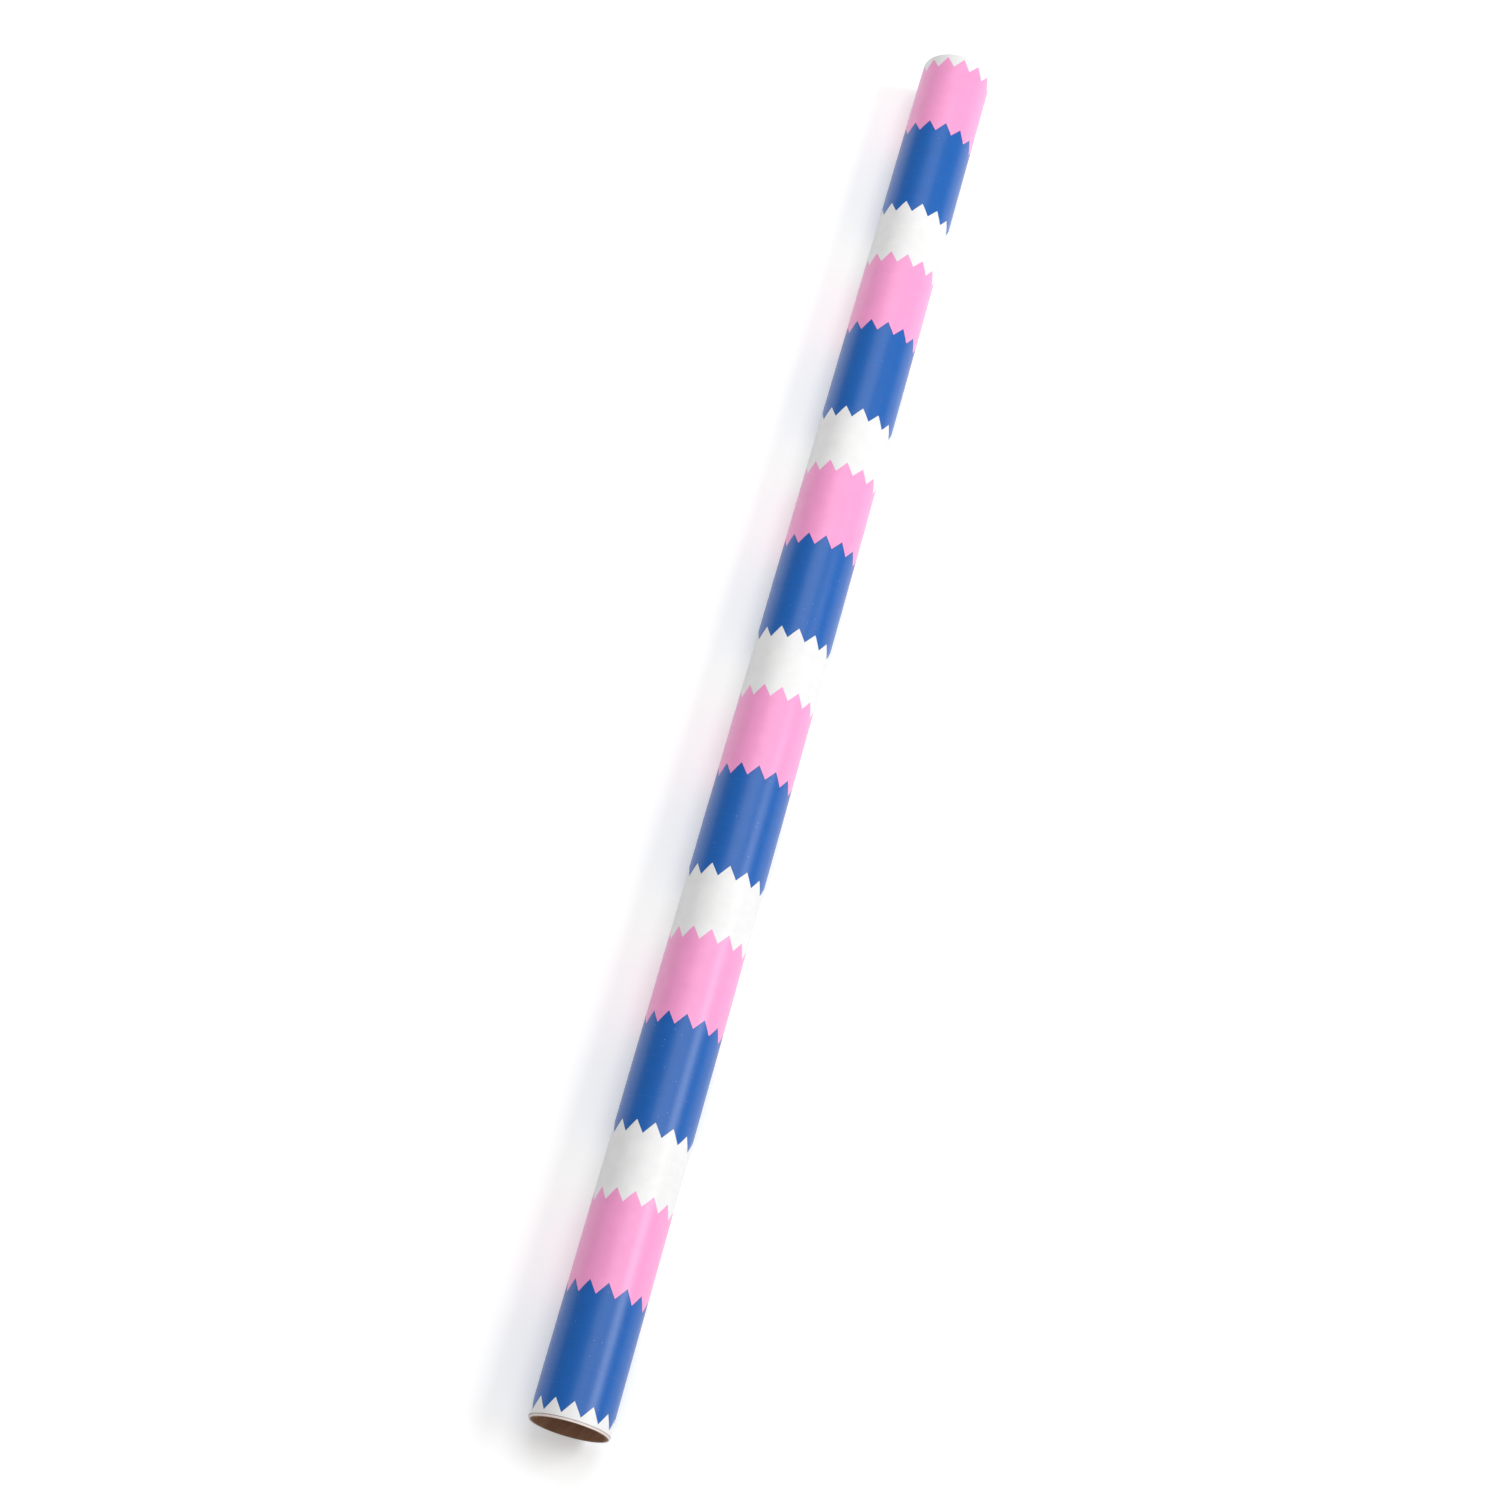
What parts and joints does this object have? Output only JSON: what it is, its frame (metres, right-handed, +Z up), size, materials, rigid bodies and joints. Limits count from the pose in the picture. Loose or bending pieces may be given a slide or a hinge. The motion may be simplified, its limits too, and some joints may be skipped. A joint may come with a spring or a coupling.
{
  "type": "gift wrap roll",
  "caption": "Long roll of banded printed gift wrap on an open kraft cardboard core; the sheet's free end peels open along one side.",
  "frame": {"origin": "the middle of the roll's length, on the surface that it lies on, straight under its axis", "axes": "+Y along the roll from the near end to the far end, +Z up, +X towards the side that the sheet's free end opens on"},
  "size_m": [0.0344, 0.7, 0.0345],
  "materials": {
    "kraft_liner": "matte",
    "kraft_board": "matte",
    "dried_glue": "satin",
    "cut_paper_edges": "matte",
    "printed_paper": "satin",
    "clear_tape": "gloss"
  },
  "bodies": {
    "roll": {"core_inner_ply": "kraft_liner", "core_outer_ply": "kraft_board", "lead_edge_glue": "dried_glue", "paper_inner_turns": "cut_paper_edges", "paper_outer_turn": "printed_paper"},
    "tail_1": {"paper_tail_1": "printed_paper"},
    "tail_2": {"paper_tail_2": "printed_paper"},
    "tail_3": {"paper_tail_3": "printed_paper"},
    "tail_4": {"paper_tail_4": "printed_paper"},
    "tail_5": {"paper_tail_5": "printed_paper", "closure_tab_near": "clear_tape", "closure_tab_middle": "clear_tape", "closure_tab_far": "clear_tape"}
  },
  "joints": [
    {"name": "tail_peel", "type": "hinge", "parent": "roll", "child": "tail_1", "pos_m": [0.0017, 0, 0], "axis": [0, 1, 0], "range_deg": [0, 11.25], "stiffness_Nm_per_rad": 0.005},
    {"name": "tail_bend_2", "type": "hinge", "parent": "tail_1", "child": "tail_2", "pos_m": [0.00503, 0, 0.00066], "axis": [0, 1, 0], "range_deg": [0, 11.25], "stiffness_Nm_per_rad": 0.005},
    {"name": "tail_bend_3", "type": "hinge", "parent": "tail_2", "child": "tail_3", "pos_m": [0.00817, 0, 0.00196], "axis": [0, 1, 0], "range_deg": [0, 11.25], "stiffness_Nm_per_rad": 0.005},
    {"name": "tail_bend_4", "type": "hinge", "parent": "tail_3", "child": "tail_4", "pos_m": [0.011, 0, 0.00385], "axis": [0, 1, 0], "range_deg": [0, 11.25], "stiffness_Nm_per_rad": 0.005},
    {"name": "tail_bend_5", "type": "hinge", "parent": "tail_4", "child": "tail_5", "pos_m": [0.0134, 0, 0.00625], "axis": [0, 1, 0], "range_deg": [0, 11.25], "stiffness_Nm_per_rad": 0.005}
  ],
  "couplings": [
    {"joint": "tail_bend_2", "follows": "tail_peel", "ratio": 1},
    {"joint": "tail_bend_3", "follows": "tail_peel", "ratio": 1},
    {"joint": "tail_bend_4", "follows": "tail_peel", "ratio": 1},
    {"joint": "tail_bend_5", "follows": "tail_peel", "ratio": 1}
  ]
}
